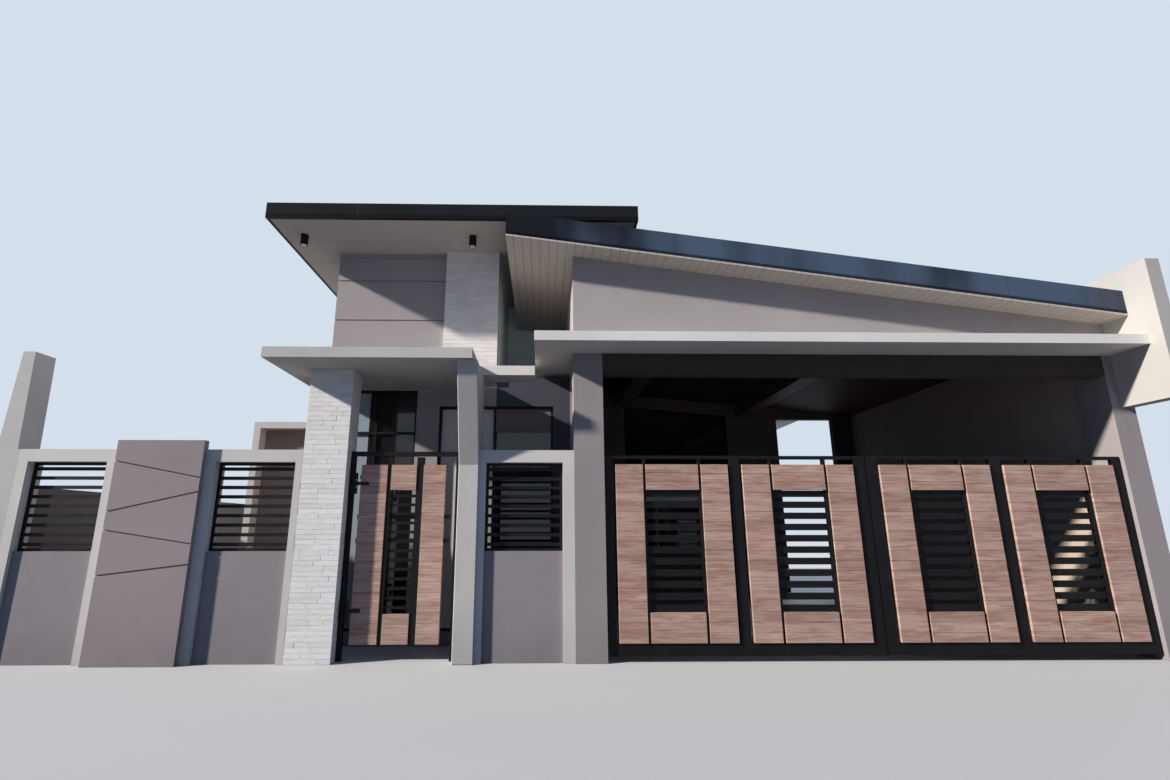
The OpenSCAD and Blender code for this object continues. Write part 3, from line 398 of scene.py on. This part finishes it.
# The side pane on the left shows a painted sky reflection.
ENTRY_GLASS = pane("entrance_glass_m", (0.014, 0.014, 0.016), cloudy=0.75, left_reflection=(0.420, 0.500, 0.560),
                   left_of=SIDE_PANE_END)
LENS = lens("lamp_lens_m", (0.620, 0.600, 0.550), (0.740, 0.720, 0.680))

# Looks of the CAD nodes
FENCE_WALLS = ("fence_wall_left", "fence_wall_middle", "fence_wall_right")
GRILLES = ("fence_grille_left", "fence_grille_middle", "fence_grille_right")
GATE_COLUMNS = ("gate_column_left", "gate_column_right")
LEAF_FRAMES = ("entry_gate_frame", "drive_leaf_left_frame", "drive_leaf_right_frame")
FRAMES = ("entry_gate_portal", "entrance_frame", "window_frames")


def paint(mat, *names):
    for name in names:
        materials = nodes[name].data.materials
        materials.clear()
        materials.append(mat)


def bevel(piece, width, segments):
    edge = piece.modifiers.new("edge", "BEVEL")
    edge.width = width
    edge.segments = segments
    return edge


def soften(width, *names, segments=2):
    """Round the edges of nodes, without those between nearly level faces."""
    for name in names:
        edge = bevel(nodes[name], width, segments)
        edge.limit_method = "ANGLE"
        edge.angle_limit = math.radians(40)


paint(LIGHT, *FENCE_WALLS)
paint(CANOPY, "carport_canopy", "porch_ledge")
paint(ENTRY, "entry_canopy", "boundary_fin", "side_frame")
paint(PANEL, "fence_feature_panel")
paint(YARD_IN_SHADE, "boundary_wall")
paint(BEAM_IN_SHADE, "drive_beam")
paint(LINING, "carport_lining")
paint(COLUMN, *GATE_COLUMNS)
paint(INFILL_AND_SHADE, "fence_infills")
paint(MAUVE, "tower_front_wall", "porch_side_wall")
paint(WALL_IN_SHADE, "foyer_wall", "passage_jamb")
paint(BAND_AND_SHADE, "entrance_band")
paint(GABLE, "gable_wall")
paint(CREAM, "firewall")
paint(HOUSE, "high_side_wall", "left_wall", "rear_walls")
paint(RECESS_SKYLIGHT, "recess_walls")
paint(WHITE, "entrance_panel")
paint(DARK, "carport_back_wall", "side_bay_wall")
paint(STEEL, "gate_hinges", "soffit_lights", *GRILLES, *LEAF_FRAMES, *FRAMES)
paint(FASCIA, "high_roof")
paint(FASCIA_LEAN, "lean_roof")
paint(SOFFIT_PLAIN, "high_soffit")
paint(SOFFIT, "lean_soffit")
paint(CEILING, "carport_ceiling")
paint(BEAM, "ceiling_beams")
paint(GLASS, "window_glass")
paint(ENTRY_GLASS, "entrance_glass")
paint(FLOOR_IN, "house_floor")

soften(0.006, "boundary_fin", "entry_canopy", "porch_ledge", "carport_canopy", "drive_beam", "side_frame",
       "fence_feature_panel", "gable_wall", "firewall", *FENCE_WALLS, *GATE_COLUMNS)
soften(0.004, "high_roof", "lean_roof")
soften(0.002, *GRILLES, *LEAF_FRAMES, *FRAMES, segments=1)

# Mesh helpers
BOX_FACES = ((0, 2, 3, 1), (4, 5, 7, 6), (0, 1, 5, 4), (2, 6, 7, 3), (0, 4, 6, 2), (1, 3, 7, 5))
MERGE = 1e-5


def add_box(bm, lo, hi):
    """A box, given by its lowest and highest corner."""
    ends = (lo, hi)
    corners = [bm.verts.new((a[X], b[Y], c[Z])) for c in ends for b in ends for a in ends]
    for face in BOX_FACES:
        bm.faces.new([corners[i] for i in face])


def add_prism(bm, near, far):
    """A solid between two rings with the same number of points."""
    a = [bm.verts.new(p) for p in near]
    b = [bm.verts.new(p) for p in far]
    bm.faces.new(a)
    bm.faces.new(b[::-1])
    for i in range(len(a)):
        j = (i + 1) % len(a)
        bm.faces.new((a[j], a[i], b[i], b[j]))


def add_piece(name, bm, mat, body, edge=0.0, replaces=()):
    """An object made of the mesh, which rides a body. It may stand in the place of CAD nodes."""
    bmesh.ops.recalc_face_normals(bm, faces=bm.faces)
    mesh = bpy.data.meshes.new(name)
    bm.to_mesh(mesh)
    bm.free()
    mesh.materials.append(mat)
    piece = bpy.data.objects.new(name, mesh)
    scene.collection.objects.link(piece)
    if edge:
        bevel(piece, edge, segments=1)
    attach(piece, body)
    if replaces:
        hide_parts(*replaces)


def add_boxes(name, items, mat, body, edge=0.0, replaces=()):
    """One piece made of boxes."""
    bm = bmesh.new()
    for lo, hi in items:
        add_box(bm, lo, hi)
    add_piece(name, bm, mat, body, edge, replaces)


def solids(node):
    """The lowest and highest corner of each separate solid in a CAD node."""
    bm = bmesh.new()
    bm.from_mesh(nodes[node].data)
    bmesh.ops.remove_doubles(bm, verts=bm.verts, dist=MERGE)
    done = set()
    found = []
    for start in bm.verts:
        if start in done:
            continue
        done.add(start)
        waiting = [start]
        points = []
        while waiting:
            vert = waiting.pop()
            points.append(vert.co.copy())
            for edge in vert.link_edges:
                other = edge.other_vert(vert)
                if other not in done:
                    done.add(other)
                    waiting.append(other)
        found.append((Vector(map(min, *points)), Vector(map(max, *points))))
    bm.free()
    return found


def corner(along, u, v, z):
    """A point on a wall that runs along X or Y, u along it and v across it."""
    return (u, v, z) if along == X else (v, u, z)


def steps(first, end, step):
    """Places from first on, a step apart, that lie before end."""
    return [first + i * step for i in range(math.ceil((end - first) / step))]


# Gate boards
BOARD_H = 0.099
BOARD_GAP = 0.002
BOARD_UNEVEN = 0.0012
BOARD_EDGE = 0.0014
CORE_INSET = Vector((0.004, 0.009, 0.002))


def clad(node, body):
    """Horizontal boards over a thin core, in the place of a node's solids."""
    slats = []
    core = []
    for lo, hi in solids(node):
        count = max(2, round((hi.z - lo.z) / BOARD_H))
        step = (hi.z - lo.z) / count
        for i in range(count):
            uneven = random.uniform(0.0, BOARD_UNEVEN)
            foot = lo.z + i * step + BOARD_GAP / 2
            slats.append(((lo.x, lo.y + uneven, foot), (hi.x, hi.y - uneven, foot + step - BOARD_GAP)))
        core.append((lo + CORE_INSET, hi - CORE_INSET))
    add_boxes(node + "_slats", slats, WOOD, body, BOARD_EDGE, (node,))
    add_boxes(node + "_core", core, STEEL, body)


clad("drive_leaf_left_boards", "drive_leaf_left")
clad("drive_leaf_right_boards", "drive_leaf_right")
clad("entry_gate_boards", "entry_leaf")

# Stone slips
COURSE_H = 0.052
SLIP_GAP = 0.002
SLIP_DEPTH = 0.022
SLIP_UNEVEN = 0.002
SLIP_EDGE = 0.001
SLIP_REST = 0.6
FACE_SLIPS = (0.12, 0.34)
SIDE_SLIPS = (0.08, 0.22)
MORTAR_INSET = 0.005
TINY = 1e-6


def courses(length, height, shortest, longest):
    """Rows of slips with random lengths over a face: the left, right, lowest and highest edge of each."""
    slips = []
    rows = max(1, round(height / COURSE_H))
    step = height / rows
    margin = SLIP_GAP / 2
    for row in range(rows):
        u = 0.0
        first = random.uniform(shortest / 2, longest)
        while u < length - TINY:
            slip = first if u == 0.0 else random.uniform(shortest, longest)
            if length - u - slip < shortest * SLIP_REST:
                slip = length - u
            slips.append((u + margin, u + slip - margin, row * step + margin, (row + 1) * step - margin))
            u += slip
    return slips


def on_sides(value, sides):
    """The value on the named sides, and 0 on the rest."""
    return {side: value if side in sides else 0.0 for side in "fblr"}


def stone_pier(node, sides, front=None):
    """Stone slips over a box node, in its place, with a mortar core behind them.

    The sides are any of f, b, l and r, for front, back, left and right. The front may lie elsewhere in Y.
    """
    lo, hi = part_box(node)
    if front is not None:
        lo.y = front
    depth = on_sides(SLIP_DEPTH, sides)
    inset = on_sides(MORTAR_INSET, sides)
    slips = []
    for side in sides:
        along, across = (X, Y) if side in "fb" else (Y, X)
        start = lo[along]
        end = hi[along]
        if along == Y:
            start += depth["f"]
            end -= depth["b"]
        lengths = FACE_SLIPS if along == X else SIDE_SLIPS
        for u0, u1, z0, z1 in courses(end - start, hi.z - lo.z, *lengths):
            uneven = random.uniform(0.0, SLIP_UNEVEN)
            v0 = lo[across] + uneven if side in "fl" else hi[across] - SLIP_DEPTH
            v1 = lo[across] + SLIP_DEPTH if side in "fl" else hi[across] - uneven
            near = corner(along, start + u0, v0, lo.z + z0)
            far = corner(along, start + u1, v1, lo.z + z1)
            slips.append((near, far))
    add_boxes(node + "_slips", slips, STONE, "house", SLIP_EDGE, (node,))
    core_lo = lo + Vector((inset["l"], inset["f"], 0.0))
    core_hi = hi - Vector((inset["r"], inset["b"], 0.0))
    add_boxes(node + "_core", [(core_lo, core_hi)], MORTAR, "house")


stone_pier("brick_pier", "fblr", front=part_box("fence_wall_middle")[0].y)
stone_pier("brick_column", "flr")

# Canopy fin
FIN_POST = 0.405
FIN_BREAK = 1.95
FIN_EDGE = 0.006


def canopy_fin():
    """The fin under the entry canopy: a plain post below and a face that leans out to the canopy above."""
    lo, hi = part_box("canopy_fin")
    post = lo.y + FIN_POST
    side = [(hi.y, lo.z), (post, lo.z), (post, FIN_BREAK), (lo.y, hi.z), (hi.y, hi.z)]
    bm = bmesh.new()
    add_prism(bm, [(lo.x, y, z) for y, z in side], [(hi.x, y, z) for y, z in side])
    add_piece("canopy_fin_shaped", bm, ENTRY, "house", FIN_EDGE, ("canopy_fin",))


canopy_fin()

# Roof sheets: the ribs, the gaps at their ends, and sizes of the roofs in the CAD
RIB_H = 0.028
RIB_W = 0.022
RIB_STEP = 0.405
RIB_SINK = 0.002
RIB_EDGE = 0.003
RIB_START = 0.2
RIB_STOP = 0.1
ROOF_MARGIN = 0.05
RIB_GAP = 0.01
FIREWALL_GAP = 0.04
WALL_T = 0.15
LEAN_REAR = 0.3
REAR_SIDE_EAVE = 1.0
FASCIA_T = 0.04
SHEET_DROP = 0.041
SHEET_T = 0.005


def lean_ribs():
    """Standing ribs across the carport roof, which is wide at the street and narrower behind."""
    roof_lo, roof_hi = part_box("lean_roof")
    end_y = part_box("high_roof")[1].y
    porch_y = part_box("high_side_wall")[0].y - WALL_T
    rear_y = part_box("firewall")[1].y + LEAN_REAR
    street_x = roof_lo.x + ROOF_MARGIN
    side_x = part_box("high_side_wall")[1].x + RIB_GAP
    firewall_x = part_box("firewall")[0].x - FIREWALL_GAP
    rear_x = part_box("rear_walls")[1].x + REAR_SIDE_EAVE - ROOF_MARGIN
    bm = bmesh.new()
    for y in steps(roof_lo.y + RIB_START, end_y - RIB_STOP, RIB_STEP):
        x0 = street_x if y + RIB_W < porch_y else side_x
        x1 = firewall_x if y + RIB_W < rear_y else rear_x
        z0 = roof_hi.z - (x0 - roof_lo.x) * FALL - RIB_SINK
        z1 = z0 - (x1 - x0) * FALL
        end = [(x0, z0), (x1, z1), (x1, z1 + RIB_H), (x0, z0 + RIB_H)]
        add_prism(bm, [(x, y, z) for x, z in end], [(x, y + RIB_W, z) for x, z in end])
    add_piece("lean_roof_ribs", bm, ROOF, "house", RIB_EDGE)


def high_sheet():
    """The ribbed sheet inside the trim of the flat roof."""
    roof_lo, roof_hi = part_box("high_roof")
    inner = Vector((FASCIA_T, FASCIA_T, 0.0))
    lo = roof_lo + inner
    hi = roof_hi - inner
    lo.z = roof_hi.z - SHEET_DROP
    bm = bmesh.new()
    for x in steps(lo.x + RIB_START, hi.x - RIB_STOP, RIB_STEP):
        add_box(bm, (x, lo.y + RIB_GAP, lo.z), (x + RIB_W, hi.y - RIB_GAP, lo.z + RIB_H))
    add_box(bm, lo, (hi.x, hi.y, lo.z + SHEET_T))
    add_piece("high_roof_sheet", bm, ROOF, "house", RIB_EDGE)


lean_ribs()
high_sheet()

# Windows. Depths are measured outwards from the middle of the frame
TALL_FRAME = 1.5
SILL_DEPTHS = (0.076, 0.125)
SILL_LAP = 0.05
SILL_FOOT = 0.06
SILL_GAP = 0.002
SILL_EDGE = 0.004
BAR_DEPTHS = (-0.018, 0.018)
BAR_HALF = 0.024
BAR_MARGIN = 0.02
HANDLE_DEPTHS = (-0.045, -0.016)
HANDLE_HALF = 0.008
HANDLE_HALF_H = 0.07
BAR_EDGE = 0.002


def dress_windows(node):
    """A stone sill below each low window frame, and a bar down its middle with a handle on it."""
    sills = []
    bars = []
    handles = []
    for lo, hi in solids(node):
        if hi.z - lo.z > TALL_FRAME:
            continue
        along, across = (X, Y) if hi.x - lo.x > hi.y - lo.y else (Y, X)
        mid = (lo + hi) / 2
        out = 1 if mid[across] > 0 else -1
        sill_half = (hi[along] - lo[along]) / 2 + SILL_LAP
        parts = (
            (sills, sill_half, SILL_DEPTHS, lo.z - SILL_FOOT, lo.z - SILL_GAP),
            (bars, BAR_HALF, BAR_DEPTHS, lo.z + BAR_MARGIN, hi.z - BAR_MARGIN),
            (handles, HANDLE_HALF, HANDLE_DEPTHS, mid.z - HANDLE_HALF_H, mid.z + HANDLE_HALF_H))
        for group, half, depths, z0, z1 in parts:
            v0, v1 = sorted(mid[across] + out * depth for depth in depths)
            near = corner(along, mid[along] - half, v0, z0)
            far = corner(along, mid[along] + half, v1, z1)
            group.append((near, far))
    add_boxes("window_sills", sills, SILL, "house", SILL_EDGE)
    add_boxes("window_mullions", bars, STEEL, "house", BAR_EDGE)
    add_boxes("window_handles", handles, STEEL, "house", BAR_EDGE)


dress_windows("window_frames")

# Lamps under the high roof
LENS_R = 0.034
LENS_H = 0.006
LENS_DROP = 0.004
LENS_SIDES = 32


def lamp_lenses():
    """A frosted disc in the foot of each lamp."""
    bm = bmesh.new()
    for lo, hi in solids("soffit_lights"):
        mid = (lo + hi) / 2
        turns = [i * math.tau / LENS_SIDES for i in range(LENS_SIDES)]
        ring = [(mid.x + LENS_R * math.cos(a), mid.y + LENS_R * math.sin(a)) for a in turns]
        foot = lo.z - LENS_DROP
        add_prism(bm, [(x, y, foot) for x, y in ring], [(x, y, foot + LENS_H) for x, y in ring])
    add_piece("soffit_light_lenses", bm, LENS, "house")


lamp_lenses()

# Studio: floor, world and lamps. The backdrop that is seen is paler than the one that lights the house
FLOOR_SIZE = 160.0
FLOOR_Z = -0.001
FLOOR_LIT = (0.100, 0.115, 0.140)
FLOOR_SEEN = (0.500, 0.500, 0.500)
SKY_LIT = (0.11, 0.18, 0.34)
SKY_SEEN = (0.66, 0.74, 0.84)


def studio():
    bpy.ops.mesh.primitive_plane_add(size=FLOOR_SIZE, location=(0.0, 0.0, FLOOR_Z))
    floor = bpy.context.object
    floor.name = "studio_floor"
    m = Mat("studio_floor_m", 0.9, specular=0.2)
    m.colour(m.mix(m.seen(), FLOOR_LIT, FLOOR_SEEN))
    floor.data.materials.append(m.material)
    world = bpy.data.worlds.new("studio_world")
    world.use_nodes = True
    sky = Nodes(world.node_tree)
    sky.put(sky.tree.nodes["Background"].inputs["Color"], sky.mix(sky.seen(), SKY_LIT, SKY_SEEN))
    scene.world = world


def sun(name, at, power, colour, width):
    """Sunlight from the given place towards the origin, with its apparent width in degrees."""
    data = bpy.data.lights.new(name, "SUN")
    data.energy = power
    data.color = colour
    data.angle = math.radians(width)
    lamp = bpy.data.objects.new(name, data)
    lamp.location = at
    lamp.rotation_euler = (-Vector(at)).to_track_quat("-Z", "Y").to_euler()
    scene.collection.objects.link(lamp)


studio()
sun("key", (-29.0, -10.8, 15.2), power=6.5, colour=(1.0, 0.95, 0.88), width=2.2)
sun("rear_fill", (14.0, 20.0, 12.0), power=1.7, colour=(0.90, 0.95, 1.0), width=40.0)

scene.view_settings.view_transform = "Standard"
